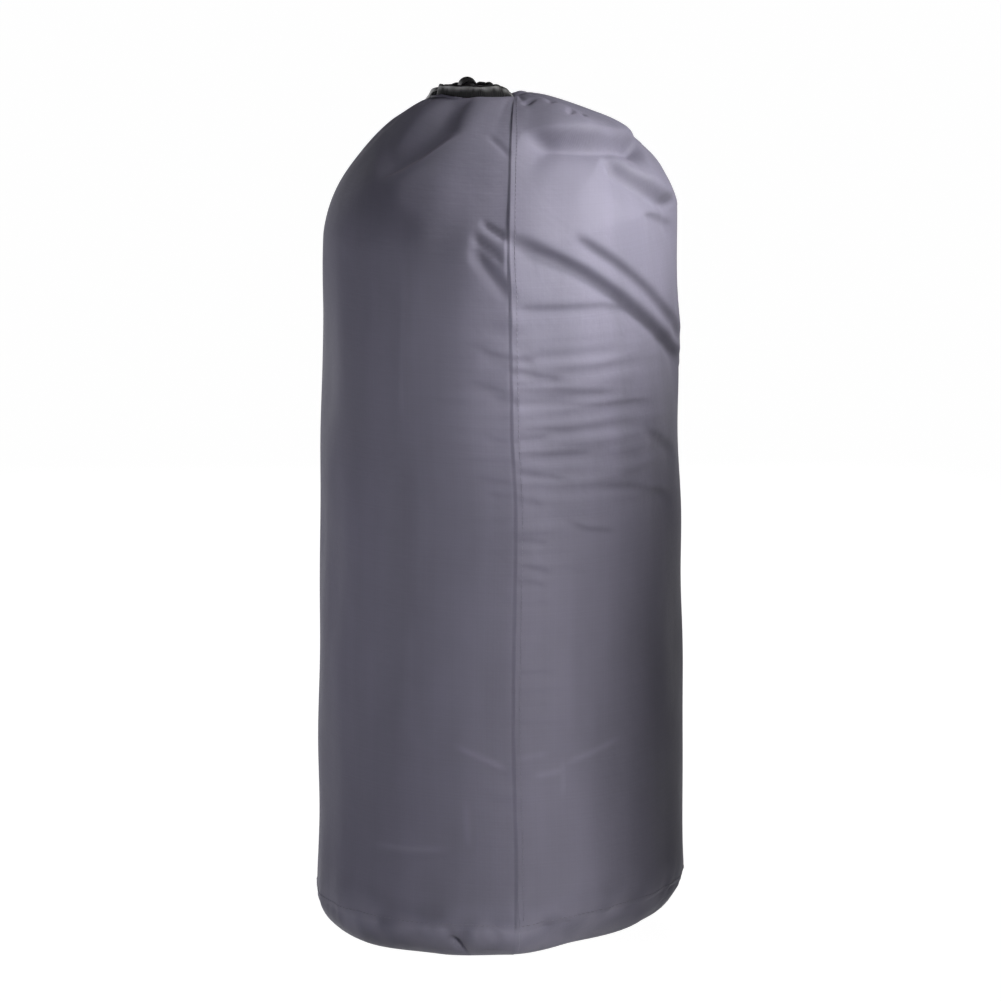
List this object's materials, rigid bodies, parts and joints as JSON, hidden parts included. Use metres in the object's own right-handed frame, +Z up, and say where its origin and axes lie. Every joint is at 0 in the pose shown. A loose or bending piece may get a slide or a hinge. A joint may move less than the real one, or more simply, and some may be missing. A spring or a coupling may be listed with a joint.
{
  "type": "stuff sack",
  "caption": "Tall round-bottomed drawstring stuff sack of sewn cloth panels, with a gathered corded mouth and a sprung cord lock that slides on the drawcord.",
  "frame": {"origin": "middle of the flat base, on the surface the sack stands on", "axes": "+Z up along the sack; -Y towards the front seam; +X to the right as seen from the front"},
  "size_m": [0.24, 0.26, 0.5494],
  "materials": {
    "sack_cloth": "coated plain-weave nylon, soft sheen",
    "seam_tape": "woven tape, matt",
    "thread": "sewing thread",
    "drawcord": "braided cord, matt",
    "lock_plastic": "moulded, fine texture",
    "spring_steel": "drawn wire"
  },
  "bodies": {
    "sack": {"left_panel": "sack_cloth", "right_panel": "sack_cloth", "base_panel": "sack_cloth", "front_seam_binding": "seam_tape", "back_seam_binding": "seam_tape", "base_seam_binding": "seam_tape", "front_seam_thread": "thread", "back_seam_thread": "thread", "base_seam_thread": "thread", "hem_casing": "seam_tape", "drawcord_ring": "drawcord", "drawcord_tail_front": "drawcord", "drawcord_tail_back": "drawcord", "tail_knot": "drawcord"},
    "cord_lock": {"cord_lock_barrel": "lock_plastic", "cord_lock_spring": "spring_steel"},
    "lock_button": {"cord_lock_plunger": "lock_plastic"}
  },
  "joints": [
    {"name": "lock_slide", "type": "slide", "parent": "sack", "child": "cord_lock", "axis": [1, 0, 0], "range_m": [-0.005, 0.007]},
    {"name": "plunger_press", "type": "slide", "parent": "cord_lock", "child": "lock_button", "axis": [0, 1, 0], "range_m": [0, 0.0035], "stiffness_N_per_m": 1500, "deforming": ["cord_lock_spring"]}
  ]
}
